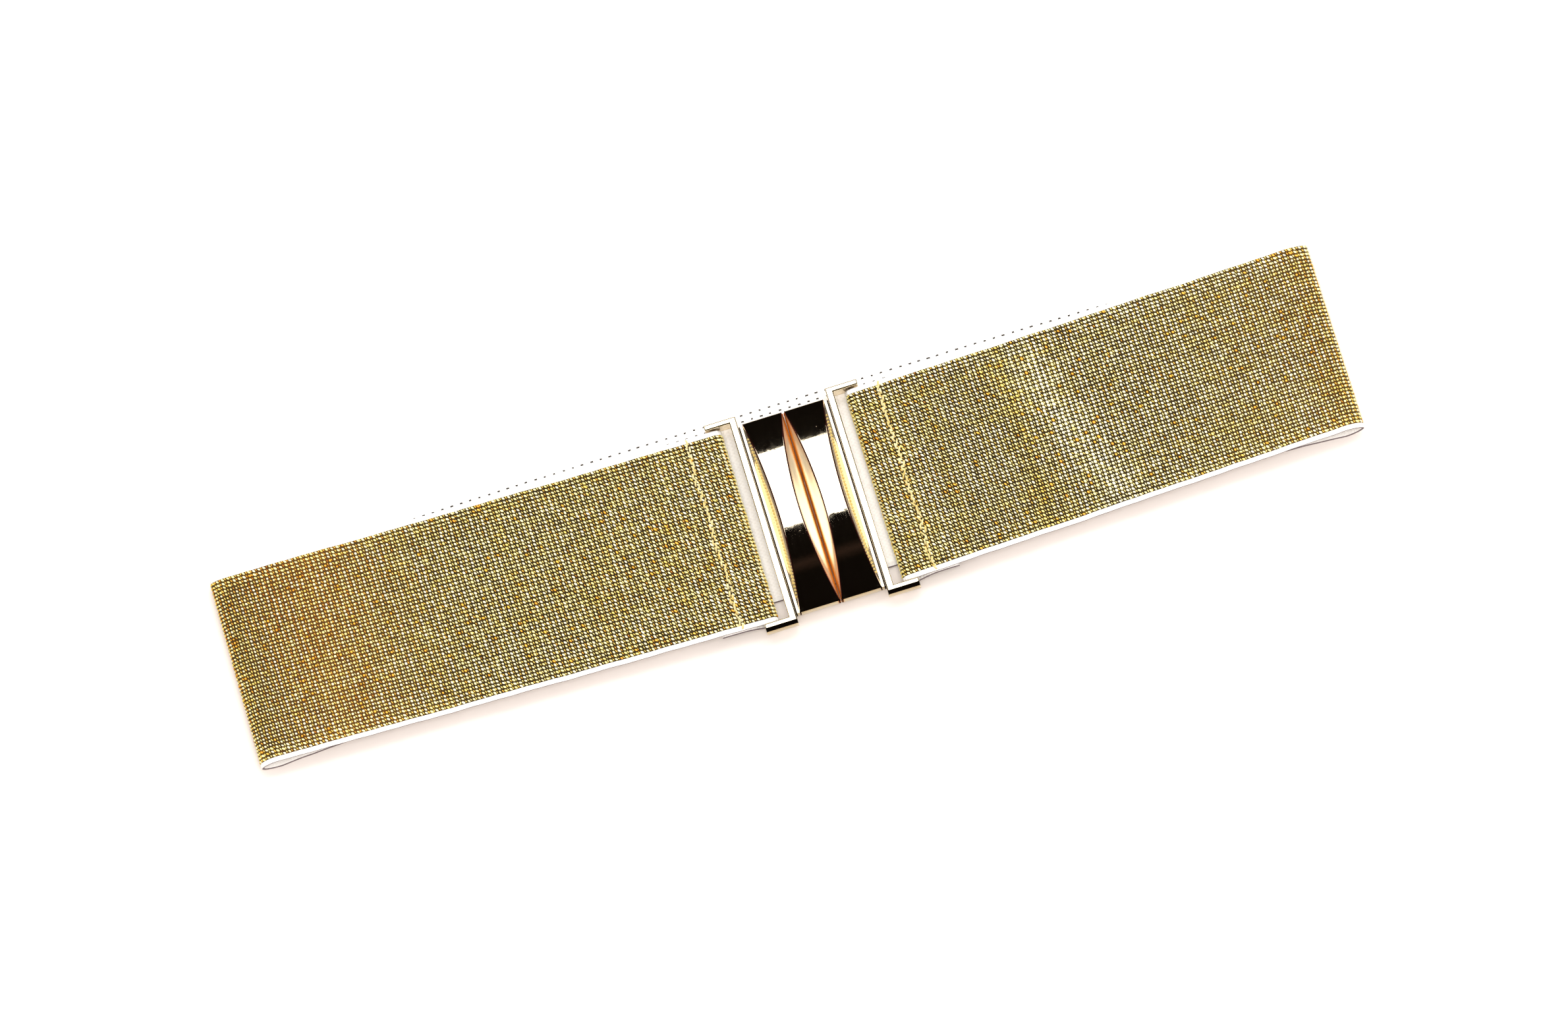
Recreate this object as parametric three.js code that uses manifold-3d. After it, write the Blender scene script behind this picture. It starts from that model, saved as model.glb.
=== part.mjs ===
// Elastic stretch belt with a two-half metal clasp, fastened and pressed flat on a table.
// One woven strip runs as a long flat loop: the rear layer lies on the table, both ends fold
// over, and the front layer meets in the clasp, where each end is sewn back round a hidden bar.
// Millimetres, +X along the belt, +Y across it, +Z up. The table is z = 0.

import * as THREE from "three";
import { mergeVertices } from "three/addons/utils/BufferGeometryUtils.js";
import Module from "manifold-3d";

const wasm = await Module();
wasm.setup();

// Elastic strip
const beltLength = 340; // across the two end folds, as it lies
const bandWidth = 60; // at the end folds
const bandWidthAtBars = 61.3; // where it is sewn double beside the clasp
const bandThickness = 1.2;
const layerGap = 5; // open height between the two layers at the end folds
const foldReach = 5.6; // how far the fold's middle line bulges past where it starts to turn
const frontSag = 0.4; // the front layer dips this much between fold and clasp
const frontBow = 3.4; // the clasp lies this far to -Y of the folds
const rearBow = 3; // the middle of the rear layer lies this far to +Y of the folds
const foldLean = 0.5; // the folds lean this much to +X over their length
const hemLength = 14.5; // sewn-back end, from the bar's centre
const hemLevelLength = 6; // last stretch of the hem, flat against the front layer
const hemGap = 0.3; // between the hem and the front layer

// Clasp
const claspOffset = 7.4; // the clasp's middle lies this far to +X of the belt's middle
const plateHeight = 60.3; // along Y
const plateWidth = 12.5; // at its base
const plateEndDepth = 4.7; // from the underside to the face, at the ends
const plateCrown = 1.4; // the face rises this much more at mid height
const faceInset = 0.25; // the face is this much narrower than the base, on each side
const innerScoop = 3.2; // hollow of the side next to the seam, at mid height
const outerScoop = 2.5; // hollow of the side next to the frame, at mid height
const webThickness = 2.2; // floor of the hollows, above the underside
const seamGap = 0.4; // between the two halves
const grooveWidth = 1.15; // between plate and frame
const frameBarWidth = 2.2;
const slotWidth = 2.9; // between the frame's bar and the strip's fold
const frameDepth = 5.6;
const flangeWidth = 1.95;
const flangeMargin = 0.3; // the flanges reach this far past the hidden bar
const frameEdge = 0.25; // small chamfer round the frame
const barRadius = 1.45; // hidden bar that carries the strip

// Hidden hook that holds the two halves together
const hookSpan = 13;
const hookWidth = 18;
const hookPlateThickness = 1;
const hookLipThickness = 1.2;
const hookLipDepth = 1.6; // how far a lip enters its pocket

// Clearances
const restGap = 0.3; // clasp loop above the rear layer
const wrapClearance = 0.3; // bar inside the strip's loop
const edgeClearance = 0.3; // strip between the flanges
const pocketClearance = 0.3; // hook lip in its pocket
const hookClearance = 0.3; // hook under the plates

// Steps along the strip and the plates
const arcSteps = 12;
const hemSteps = 8;
const frontSteps = 20;
const rearSteps = 28;
const plateSteps = 18;
const barSides = 12;

// Heights that follow from the sizes
const rearHeight = bandThickness / 2;
const foldHalfHeight = (layerGap + bandThickness) / 2;
const foldTopHeight = rearHeight + 2 * foldHalfHeight;
const wrapRadius = barRadius + wrapClearance + bandThickness / 2;
const barHeight = bandThickness + restGap + bandThickness / 2 + wrapRadius;
const wrapTopHeight = barHeight + wrapRadius;
const undersideHeight = barHeight - barRadius;

// Distances from the clasp's middle that follow from the sizes
const plateInner = seamGap / 2;
const plateOuter = plateInner + plateWidth;
const frameInner = plateOuter + grooveWidth;
const frameOuter = frameInner + frameBarWidth;
const stripEdge = frameOuter + slotWidth;
const barReach = stripEdge + bandThickness / 2 + wrapRadius;
const flangeEnd = barReach + barRadius + flangeMargin;
const slotHalfHeight = bandWidthAtBars / 2 + edgeClearance;
const frameHalfHeight = slotHalfHeight + flangeWidth;
const foldCentre = beltLength / 2 - foldReach - bandThickness / 2;

const goldWeave = new THREE.MeshStandardMaterial({ color: 0xb9a552, roughness: 0.55, metalness: 0.5 });
const polishedGold = new THREE.MeshStandardMaterial({ color: 0xf2d9a8, roughness: 0.08, metalness: 1 });
const plainSteel = new THREE.MeshStandardMaterial({ color: 0xb8b4aa, roughness: 0.35, metalness: 1 });

// Eases from 0 to 1 with a level start and end
function ease(u) {
  return u * u * (3 - 2 * u);
}

// Centre height of the front layer, from the fold (u = 0) to the hidden bar (u = 1)
function frontHeight(u) {
  const level = foldTopHeight + (wrapTopHeight - foldTopHeight) * ease(u);
  return level - frontSag * Math.sin(Math.PI * u) ** 2;
}

function station(x, z, y, width) {
  return { x, z, y, width };
}

// Stations of one sewn end and its front layer, from the hem's end to the foot of the fold.
// side is -1 on the left and +1 on the right.
function sideStations(side) {
  const barX = claspOffset + side * barReach;
  const foldX = side * foldCentre;
  const span = Math.abs(foldX - barX);
  const list = [];
  const hemRise = hemLength - hemLevelLength;
  for (let i = 0; i < hemSteps; i++) {
    const out = hemLength * (1 - i / hemSteps);
    const under = frontHeight(1 - out / span) - bandThickness - hemGap;
    const wrapFoot = barHeight - wrapRadius;
    const z = wrapFoot + (under - wrapFoot) * ease(Math.min(out / hemRise, 1));
    list.push(station(barX + side * out, z, -frontBow, bandWidthAtBars));
  }
  for (let i = 0; i < arcSteps; i++) {
    const turn = Math.PI * (i / arcSteps);
    const x = barX - side * wrapRadius * Math.sin(turn);
    list.push(station(x, barHeight - wrapRadius * Math.cos(turn), -frontBow, bandWidthAtBars));
  }
  for (let i = 0; i < frontSteps; i++) {
    const u = 1 - i / frontSteps;
    const width = bandWidth + (bandWidthAtBars - bandWidth) * u;
    list.push(station(foldX + (barX - foldX) * u, frontHeight(u), -frontBow * u, width));
  }
  for (let i = 0; i <= arcSteps; i++) {
    const turn = Math.PI * (i / arcSteps);
    const x = foldX + side * foldReach * Math.sin(turn);
    list.push(station(x, rearHeight + foldHalfHeight * (1 + Math.cos(turn)), 0, bandWidth));
  }
  return list;
}

// Stations of the rear layer between the two folds
function rearStations() {
  const list = [];
  for (let i = 1; i < rearSteps; i++) {
    const u = -1 + (2 * i) / rearSteps;
    list.push(station(foldCentre * u, rearHeight, rearBow * (1 - u ** 4), bandWidth));
  }
  return list;
}

// The whole strip: a flat ribbon section carried along the stations
function stripGeometry() {
  const path = [...sideStations(-1), ...rearStations(), ...sideStations(1).reverse()];
  const last = path.length - 1;
  const points = [];
  path.forEach((here, i) => {
    const before = path[Math.max(i - 1, 0)];
    const after = path[Math.min(i + 1, last)];
    const length = Math.hypot(after.x - before.x, after.z - before.z);
    const outX = (after.z - before.z) / length;
    const outZ = -(after.x - before.x) / length;
    const lean = (foldLean * Math.abs(here.x)) / foldCentre;
    for (const face of [1, -1]) {
      for (const edge of [-1, 1]) {
        const x = here.x + (face * outX * bandThickness) / 2 + (lean * edge) / 2;
        const z = here.z + (face * outZ * bandThickness) / 2;
        points.push(x, here.y + (edge * here.width) / 2, z);
      }
    }
  });
  // Corners of a section: 0 and 1 on the gold side, 2 and 3 on the inner side
  const ring = [0, 1, 3, 2];
  const index = [];
  for (let i = 0; i < last; i++) {
    ring.forEach((corner, k) => {
      const next = ring[(k + 1) % 4];
      const [a, b, c, d] = [4 * i + corner, 4 * i + next, 4 * i + 4 + next, 4 * i + 4 + corner];
      index.push(a, b, c, a, c, d);
    });
  }
  index.push(0, 2, 3, 0, 3, 1);
  const end = 4 * last;
  index.push(end, end + 1, end + 3, end, end + 3, end + 2);
  return indexedGeometry(points, index);
}

function indexedGeometry(points, index) {
  const geometry = new THREE.BufferGeometry();
  geometry.setAttribute("position", new THREE.Float32BufferAttribute(points, 3));
  geometry.setIndex(index);
  return geometry;
}

function boxBetween(low, high) {
  const size = high.map((value, i) => value - low[i]);
  const box = new THREE.BoxGeometry(...size);
  return box.translate(...low.map((value, i) => value + size[i] / 2));
}

// Frame of the left half: a bar beside the plate and two flanges that reach round the strip
function frameGeometry() {
  const outline = new THREE.Shape();
  outline.moveTo(-frameInner, -frameHalfHeight);
  outline.lineTo(-frameInner, frameHalfHeight);
  outline.lineTo(-flangeEnd, frameHalfHeight);
  outline.lineTo(-flangeEnd, slotHalfHeight);
  outline.lineTo(-frameOuter, slotHalfHeight);
  outline.lineTo(-frameOuter, -slotHalfHeight);
  outline.lineTo(-flangeEnd, -slotHalfHeight);
  outline.lineTo(-flangeEnd, -frameHalfHeight);
  outline.closePath();
  const frame = new THREE.ExtrudeGeometry(outline, {
    depth: frameDepth - 2 * frameEdge,
    bevelThickness: frameEdge,
    bevelSize: frameEdge,
    bevelOffset: -frameEdge,
    bevelSegments: 1,
  });
  return frame.translate(0, 0, undersideHeight + frameEdge);
}

// Hourglass plate of the left half: a straight base whose two long sides are scooped out
// towards a crowned face, deepest at mid height
function plateGeometry() {
  const floor = undersideHeight + webThickness;
  const points = [];
  for (let i = 0; i <= plateSteps; i++) {
    const u = -1 + (2 * i) / plateSteps;
    const bulge = 1 - u * u;
    const y = (plateHeight / 2) * u;
    const face = undersideHeight + plateEndDepth + plateCrown * bulge;
    const faceLeft = -plateOuter + faceInset + outerScoop * bulge;
    const faceRight = -plateInner - faceInset - innerScoop * bulge;
    points.push(-plateOuter, y, undersideHeight);
    points.push(-plateInner, y, undersideHeight);
    points.push(-plateInner, y, floor);
    points.push(faceRight, y, face);
    points.push(faceLeft, y, face);
    points.push(-plateOuter, y, floor);
  }
  const corners = 6;
  const index = [];
  for (let i = 0; i < plateSteps; i++) {
    for (let k = 0; k < corners; k++) {
      const a = corners * i + k;
      const b = corners * i + ((k + 1) % corners);
      index.push(a, a + corners, b + corners, a, b + corners, b);
    }
  }
  const end = corners * plateSteps;
  for (let k = 1; k < corners - 1; k++) {
    index.push(0, k, k + 1);
    index.push(end, end + k + 1, end + k);
  }
  return indexedGeometry(points, index);
}

function solidOf(geometry) {
  const bare = geometry.clone();
  bare.deleteAttribute("normal");
  bare.deleteAttribute("uv");
  const merged = mergeVertices(bare, 1e-4);
  const mesh = new wasm.Mesh({
    numProp: 3,
    vertProperties: new Float32Array(merged.attributes.position.array),
    triVerts: new Uint32Array(merged.index.array),
  });
  return new wasm.Manifold(mesh);
}

function geometryOf(solid) {
  const mesh = solid.getMesh();
  return indexedGeometry(Array.from(mesh.vertProperties), Array.from(mesh.triVerts));
}

// The same shape on the other side of the seam
function mirroredGeometry(geometry) {
  const points = Array.from(geometry.attributes.position.array);
  const index = Array.from(geometry.index.array);
  for (let i = 0; i < points.length; i += 3) {
    points[i] = -points[i];
  }
  for (let i = 0; i < index.length; i += 3) {
    [index[i + 1], index[i + 2]] = [index[i + 2], index[i + 1]];
  }
  return indexedGeometry(points, index);
}

// Distance of a hook lip's two faces from the seam
const lipOuter = hookSpan / 2;
const lipInner = lipOuter - hookLipThickness;

// Left half of the clasp in one casting: frame, hidden bar, web and plate, less the hook's pocket
function leftClaspHalf() {
  const strapBar = new THREE.CylinderGeometry(barRadius, barRadius, 2 * slotHalfHeight + flangeWidth, barSides);
  strapBar.translate(-barReach, 0, barHeight);
  const web = boxBetween(
    [-frameInner - frameBarWidth / 2, -plateHeight / 2, undersideHeight],
    [-plateOuter + frameEdge, plateHeight / 2, undersideHeight + webThickness],
  );
  const pocket = boxBetween(
    [-lipOuter - pocketClearance, -hookWidth / 2 - pocketClearance, undersideHeight - pocketClearance],
    [-lipInner + pocketClearance, hookWidth / 2 + pocketClearance, undersideHeight + hookLipDepth + pocketClearance],
  );
  return geometryOf(
    solidOf(frameGeometry())
      .add(solidOf(strapBar))
      .add(solidOf(web))
      .add(solidOf(plateGeometry()))
      .subtract(solidOf(pocket)),
  );
}

// Hidden hook: a flat plate under the seam with a lip standing up into each half
function hookGeometry() {
  const top = undersideHeight - hookClearance;
  const plate = boxBetween([-lipOuter, -hookWidth / 2, top - hookPlateThickness], [lipOuter, hookWidth / 2, top]);
  const lipLow = [lipInner, -hookWidth / 2, top - hookPlateThickness / 2];
  const lipHigh = [lipOuter, hookWidth / 2, undersideHeight + hookLipDepth];
  const lip = boxBetween(lipLow, lipHigh);
  const otherLip = boxBetween([-lipOuter, lipLow[1], lipLow[2]], [-lipInner, lipHigh[1], lipHigh[2]]);
  return geometryOf(solidOf(plate).add(solidOf(lip)).add(solidOf(otherLip)));
}

function namedMesh(name, geometry, material) {
  const mesh = new THREE.Mesh(geometry, material);
  mesh.name = name;
  return mesh;
}

const leftHalf = leftClaspHalf();
const clasp = new THREE.Group();
clasp.add(namedMesh("clasp_half_left", leftHalf, polishedGold));
clasp.add(namedMesh("clasp_half_right", mirroredGeometry(leftHalf), polishedGold));
clasp.add(namedMesh("clasp_hook", hookGeometry(), plainSteel));
clasp.position.set(claspOffset, -frontBow, 0);

const belt = new THREE.Group();
belt.add(namedMesh("elastic_band", stripGeometry(), goldWeave));
belt.add(clasp);

// The origin is on the table, under the middle of the whole belt
belt.updateMatrixWorld(true);
const middle = new THREE.Box3().setFromObject(belt).getCenter(new THREE.Vector3());
belt.position.set(-middle.x, -middle.y, 0);

export default belt;
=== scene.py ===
# %% [markdown]
# # An elastic stretch belt with a gold clasp
# The belt is one woven strip that lies on a table as a flat loop. Its two ends meet in a metal
# clasp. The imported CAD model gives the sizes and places, and this lesson gives the looks: a
# ground cloth, thousands of small gold floats on it, stitches, and a polished clasp.

# %% Load the frame
import math

import bmesh
import bpy
import numpy as np
from mathutils import Matrix, Vector


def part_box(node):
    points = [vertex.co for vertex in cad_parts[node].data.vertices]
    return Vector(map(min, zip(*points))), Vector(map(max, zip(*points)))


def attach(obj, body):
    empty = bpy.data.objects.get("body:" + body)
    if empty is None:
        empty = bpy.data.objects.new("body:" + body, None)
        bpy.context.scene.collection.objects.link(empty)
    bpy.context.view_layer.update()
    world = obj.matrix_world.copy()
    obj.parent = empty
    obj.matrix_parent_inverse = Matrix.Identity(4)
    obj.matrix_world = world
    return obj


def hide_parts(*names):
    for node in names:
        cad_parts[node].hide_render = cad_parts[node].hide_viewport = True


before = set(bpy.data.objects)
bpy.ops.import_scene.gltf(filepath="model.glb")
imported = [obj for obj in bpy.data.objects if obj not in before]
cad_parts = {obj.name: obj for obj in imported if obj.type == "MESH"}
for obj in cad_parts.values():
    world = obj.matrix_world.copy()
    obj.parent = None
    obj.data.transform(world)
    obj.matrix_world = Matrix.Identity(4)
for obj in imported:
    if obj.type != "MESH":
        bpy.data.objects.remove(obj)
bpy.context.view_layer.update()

# %% [markdown]
# ## Sizes
# The fine pieces have to lie where the CAD solids lie, so the sizes that shape the strip and
# the clasp are the same as in the CAD source, in metres. A change there is made here too.

# %% Sizes of the strip and the clasp
MM = 0.001
belt_length = 340 * MM
band_width = 60 * MM
band_width_at_bars = 61.3 * MM
band_thickness = 1.2 * MM
layer_gap = 5 * MM
fold_reach = 5.6 * MM
front_sag = 0.4 * MM
front_bow = 3.4 * MM
rear_bow = 3 * MM
fold_lean = 0.5 * MM
hem_length = 14.5 * MM
hem_level_length = 6 * MM
hem_gap = 0.3 * MM

clasp_offset = 7.4 * MM
plate_height = 60.3 * MM
plate_width = 12.5 * MM
plate_end_depth = 4.7 * MM
plate_crown = 1.4 * MM
face_inset = 0.25 * MM
inner_scoop = 3.2 * MM
outer_scoop = 2.5 * MM
web_thickness = 2.2 * MM
seam_gap = 0.4 * MM
groove_width = 1.15 * MM
frame_bar_width = 2.2 * MM
slot_width = 2.9 * MM
frame_depth = 5.6 * MM
flange_width = 1.95 * MM
clearance = 0.3 * MM
bar_radius = 1.45 * MM
hook_span = 13 * MM
hook_width = 18 * MM
hook_lip = 1.2 * MM
hook_lip_depth = 1.6 * MM

rear_level = band_thickness / 2
fold_half = (layer_gap + band_thickness) / 2
fold_top = rear_level + 2 * fold_half
wrap_radius = bar_radius + clearance + band_thickness / 2
bar_level = band_thickness + clearance + band_thickness / 2 + wrap_radius
wrap_top = bar_level + wrap_radius
underside = bar_level - bar_radius
plate_inner = seam_gap / 2
plate_outer = plate_inner + plate_width
frame_inner = plate_outer + groove_width
frame_outer = frame_inner + frame_bar_width
bar_reach = frame_outer + slot_width + band_thickness / 2 + wrap_radius
flange_end = bar_reach + bar_radius + clearance
slot_half = band_width_at_bars / 2 + clearance
frame_half = slot_half + flange_width
fold_centre = belt_length / 2 - fold_reach - band_thickness / 2

# The CAD source puts the whole belt's middle on the origin, which moves it this far along Y
belt_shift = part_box("clasp_hook")[0].y + hook_width / 2 + front_bow
print(f"shift along Y: {1000 * belt_shift:.2f} mm")

# %% [markdown]
# ## Camera
# The photograph looks down on the belt from its lower side, 16 degrees off straight down, with
# the belt turned 17 degrees in the picture. A long lens gives the weak perspective it shows. The
# camera could be turned by hand, but two angles and a distance can each be corrected alone.

# %% Camera
view_tilt = math.radians(16)
view_roll = math.radians(17.2)
camera_distance = 2.567
view_target = Vector((-1.2, -1.9, 6.0)) * MM

looking = Vector((0, math.sin(view_tilt), -math.cos(view_tilt)))
level_up = Vector((0, math.cos(view_tilt), math.sin(view_tilt)))
level_right = Vector((1, 0, 0))
right = level_right * math.cos(view_roll) - level_up * math.sin(view_roll)
up = level_right * math.sin(view_roll) + level_up * math.cos(view_roll)

camera = bpy.data.objects.new("camera", bpy.data.cameras.new("camera"))
bpy.context.scene.collection.objects.link(camera)
camera.data.lens = 200
turn = Matrix((right, up, -looking)).transposed().to_4x4()
camera.matrix_world = Matrix.Translation(view_target - looking * camera_distance) @ turn
bpy.context.scene.camera = camera
print("camera at", [round(v, 3) for v in camera.location])

# %% [markdown]
# ## Helpers
# Every piece is made in the same few moves: deselect all, add a primitive, pick faces or edges
# in edit mode by their place, use an operator on them, and apply what was done to the object.


# %% Helpers for modelling
def deselect_all():
    if bpy.context.object and bpy.context.object.mode != "OBJECT":
        bpy.ops.object.mode_set(mode="OBJECT")
    bpy.ops.object.select_all(action="DESELECT")


def make_active(piece):
    deselect_all()
    piece.select_set(True)
    bpy.context.view_layer.objects.active = piece


def named(name):
    """The primitive just added, named, with its place, turn and size put into its mesh."""
    piece = bpy.context.object
    piece.name = name
    bpy.ops.object.transform_apply(location=True, rotation=True, scale=True)
    return piece


def block(name, low, high):
    """A box between two corners, with its place in its mesh."""
    deselect_all()
    low, high = Vector(low), Vector(high)
    bpy.ops.mesh.primitive_cube_add(size=1, location=(low + high) / 2)
    bpy.context.object.scale = high - low
    return named(name)


def edit(piece, kind, selection="DESELECT"):
    """Opens a piece in edit mode; kind is VERT, EDGE or FACE. SELECT as selection takes all."""
    make_active(piece)
    bpy.ops.object.mode_set(mode="EDIT")
    bpy.ops.mesh.select_mode(type=kind)
    bpy.ops.mesh.select_all(action=selection)


def pick(piece, kind, test):
    """Selects the edges or faces whose middle and direction or normal pass, and counts them."""
    mesh = bmesh.from_edit_mesh(piece.data)
    count = 0
    for item in mesh.edges if kind == "EDGE" else mesh.faces:
        if kind == "EDGE":
            a, b = (v.co for v in item.verts)
            wanted = bool(test((a + b) / 2, (b - a).normalized()))
        else:
            wanted = bool(test(item.calc_center_median(), item.normal))
        item.select_set(wanted)
        count += wanted
    mesh.select_flush_mode()
    bmesh.update_edit_mesh(piece.data)
    return count


def face_outwards(piece):
    edit(piece, "FACE", "SELECT")
    bpy.ops.mesh.normals_make_consistent(inside=False)
    deselect_all()


def combine(piece, other, operation):
    """Adds other to a piece, or cuts it away, and removes it."""
    make_active(piece)
    modifier = piece.modifiers.new("combine", "BOOLEAN")
    modifier.operation = operation
    modifier.solver = "EXACT"
    modifier.object = other
    bpy.ops.object.modifier_apply(modifier="combine")
    bpy.data.objects.remove(other)


# %% Helpers for finished pieces
def triangles(piece):
    return sum(len(p.vertices) - 2 for p in piece.data.polygons)


def new_piece(name, mesh, *materials):
    """A smooth piece in the scene from a mesh."""
    piece = bpy.data.objects.new(name, mesh)
    bpy.context.scene.collection.objects.link(piece)
    for material in materials:
        mesh.materials.append(material)
    mesh.polygons.foreach_set("use_smooth", np.ones(len(mesh.polygons), bool))
    return piece


def store_map(mesh, name, values):
    """A map with a pair of values for each point of the mesh."""
    corners = np.zeros(len(mesh.loops), np.int32)
    mesh.loops.foreach_get("vertex_index", corners)
    layer = mesh.uv_layers.new(name=name)
    layer.uv.foreach_set("vector", values[corners].astype(np.float32).ravel())


def part_of_belt(piece):
    """A finished piece rides on the belt's one body."""
    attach(piece, "root")
    print(f"{piece.name}: {triangles(piece)} triangles")
    return piece


# %% [markdown]
# ## Where the strip runs
# The strip starts at the hem under the left front layer, turns round the clasp's hidden bar,
# runs to the left fold, along the table to the right fold, and back in the same way. One
# function gives any point of it: how far along, how far across, and how high above its middle.
# A bevelled curve could draw the strip, but only a function can also place each float and
# stitch on it, so that they follow each bend.


# %% The strip's centre line
def ease(u):
    return u * u * (3 - 2 * u)


def front_level(u):
    """Height of the front layer's middle, from the fold (u = 0) to the hidden bar (u = 1)."""
    return fold_top + (wrap_top - fold_top) * ease(u) - front_sag * np.sin(math.pi * u) ** 2


def side_line(side, steps=400):
    """Points (x, z, y, width) from one hem's end to the foot of that side's fold."""
    bar_x = clasp_offset + side * bar_reach
    fold_x = side * fold_centre
    span = abs(fold_x - bar_x)
    u = np.linspace(0, 1, steps, endpoint=False)
    full = np.ones(steps)

    out = hem_length * (1 - u)
    under = front_level(1 - out / span) - band_thickness - hem_gap
    foot = bar_level - wrap_radius
    rise = ease(np.minimum(out / (hem_length - hem_level_length), 1))
    bar_y, bar_width = -front_bow * full, band_width_at_bars * full
    hem = (bar_x + side * out, foot + (under - foot) * rise, bar_y, bar_width)

    angle = math.pi * u
    wrap_x = bar_x - side * wrap_radius * np.sin(angle)
    wrap_z = bar_level - wrap_radius * np.cos(angle)
    wrap = (wrap_x, wrap_z, bar_y, bar_width)

    back = 1 - u
    width = band_width + (band_width_at_bars - band_width) * back
    front = (fold_x + (bar_x - fold_x) * back, front_level(back), -front_bow * back, width)

    fold_x_line = fold_x + side * fold_reach * np.sin(angle)
    fold_z = rear_level + fold_half * (1 + np.cos(angle))
    fold = (fold_x_line, fold_z, 0 * full, band_width * full)
    return [np.array(part) for part in (hem, wrap, front, fold)]


def rear_line(steps=1200):
    u = np.linspace(-1, 1, steps, endpoint=False)
    full = np.ones(steps)
    return np.array((fold_centre * u, rear_level * full, rear_bow * (1 - u**4), band_width * full))


# %% [markdown]
# Both sides are the same line, mirrored, and the right one is followed backwards. Where two
# points fall on one place, one is dropped, and then the distance along the line is added up.

# %% Join the parts into one line
left_parts = side_line(-1)
right_parts = [part[:, ::-1] for part in reversed(side_line(1))]
line_parts = [*left_parts, rear_line(), *right_parts]
line = np.concatenate(line_parts, axis=1)
step = np.hypot(np.diff(line[0]), np.diff(line[1]))
keep = np.concatenate(([True], step > 1e-8))
line = line[:, keep]
along_line = np.concatenate(([0], np.cumsum(np.hypot(np.diff(line[0]), np.diff(line[1])))))
strip_length = float(along_line[-1])

# Distances along the strip at which its parts begin
part_ends = np.cumsum([p.shape[1] for p in line_parts])
starts = [float(np.interp(n, np.flatnonzero(keep), along_line)) for n in (0, *part_ends[:-1])]
hem_l, wrap_l, front_l, fold_l, rear_s, fold_r, front_r, wrap_r, hem_r = starts
print(f"strip {1000 * strip_length:.1f} mm long; parts start at", [round(1000 * s) for s in starts])

heading = np.gradient(line[:2], along_line, axis=1)
heading /= np.hypot(*heading)

# %% [markdown]
# Real elastic never lies quite flat. Low ripples cross the front layer, and its edges wander by
# a tenth of a millimetre, which keeps long highlights and edges from looking drawn by a ruler.
# A displace modifier would move the cloth alone, and this moves what is sewn and woven on it too.


# %% Ripples and wandering edges
def fade(s, start, end, length):
    """1 between two distances along the strip, falling to 0 over a length at both ends."""
    inside = np.minimum(s - start, end - s) / length
    return ease(np.clip(inside, 0, 1))


# Height and length in mm of three waves, what they take of the layer's phase, and their slant
ripple_waves = ((0.20, 9.5, 1.0, 0), (0.13, 5.3, 1.7, 2), (0.06, 2.9, 1.0, 3))


def ripple(s, v):
    """Height of the low ripples in the two front layers."""
    total = np.zeros(np.broadcast(s, v).shape)
    for start, end, phase in ((front_l, fold_l, 0.4), (front_r, wrap_r, 2.1)):
        d = (s - start) + 0.12 * band_width * v
        near = fade(s, start + 14 * MM, end - 1 * MM, 22 * MM)
        for height, length, share, slant in ripple_waves:
            wave = height * MM * np.sin(d / (length * MM) + share * phase + slant * v)
            total = total + wave * near
    return total


def edge_wander(s):
    return 0.09 * MM * (np.sin(s / (3.1 * MM)) + 0.7 * np.sin(s / (1.37 * MM) + 1.0))


# %% From the strip to space
def strip_point(s, v, h):
    """Points in space: s along, v from -0.5 to 0.5 across, h above the middle to the gold side."""
    s, v, h = np.broadcast_arrays(s, v, h)
    x, z, y, width = (np.interp(s, along_line, row) for row in line)
    go_x = np.interp(s, along_line, heading[0])
    go_z = np.interp(s, along_line, heading[1])
    size = np.hypot(go_x, go_z)
    out_x, out_z = go_z / size, -go_x / size
    lift = h + ripple(s, v)
    lean = fold_lean * np.abs(x) / fold_centre * v
    spread = width + edge_wander(s + 40 * MM * np.sign(v)) * np.clip(np.abs(v) * 6 - 2, 0, 1)
    point = (x + lift * out_x + lean, y + belt_shift + v * spread, z + lift * out_z)
    return np.stack(point, axis=-1)


print("front layer's middle, left:", strip_point(0.5 * (front_l + fold_l), 0.0, 0.0).round(4))

# %% [markdown]
# ## Reckoning with nodes
# A procedural material is mostly sums: a distance, a wave, a share of one colour in another. So
# that they read like sums here, a node's output is wrapped as a value. A plus, a minus, a times
# or a less-than between values adds the math node that does it.


# %% Values that add math nodes
class Value:
    """One output of a node."""

    def __init__(self, socket):
        self.socket = socket
        self.tree = socket.id_data

    def __add__(self, other):
        return math_node("ADD", self, other)

    def __sub__(self, other):
        return math_node("SUBTRACT", self, other)

    def __rsub__(self, other):
        return math_node("SUBTRACT", other, self)

    def __mul__(self, other):
        return math_node("MULTIPLY", self, other)

    def __lt__(self, other):
        return math_node("LESS_THAN", self, other)

    def __abs__(self):
        return math_node("ABSOLUTE", self)

    def clamped(self):
        """Keeps the result of the last sum between 0 and 1."""
        self.socket.node.use_clamp = True
        return self


def feed(place, value):
    """Gives an input a number, a colour or a value."""
    if isinstance(value, Value):
        value.tree.links.new(value.socket, place)
    elif value is not None:
        place.default_value = value


def math_node(operation, a, b=None):
    tree = a.tree if isinstance(a, Value) else b.tree
    made = tree.nodes.new("ShaderNodeMath")
    made.operation = operation
    for place, value in zip(made.inputs, (a, b)):
        feed(place, value)
    return Value(made.outputs[0])


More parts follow.
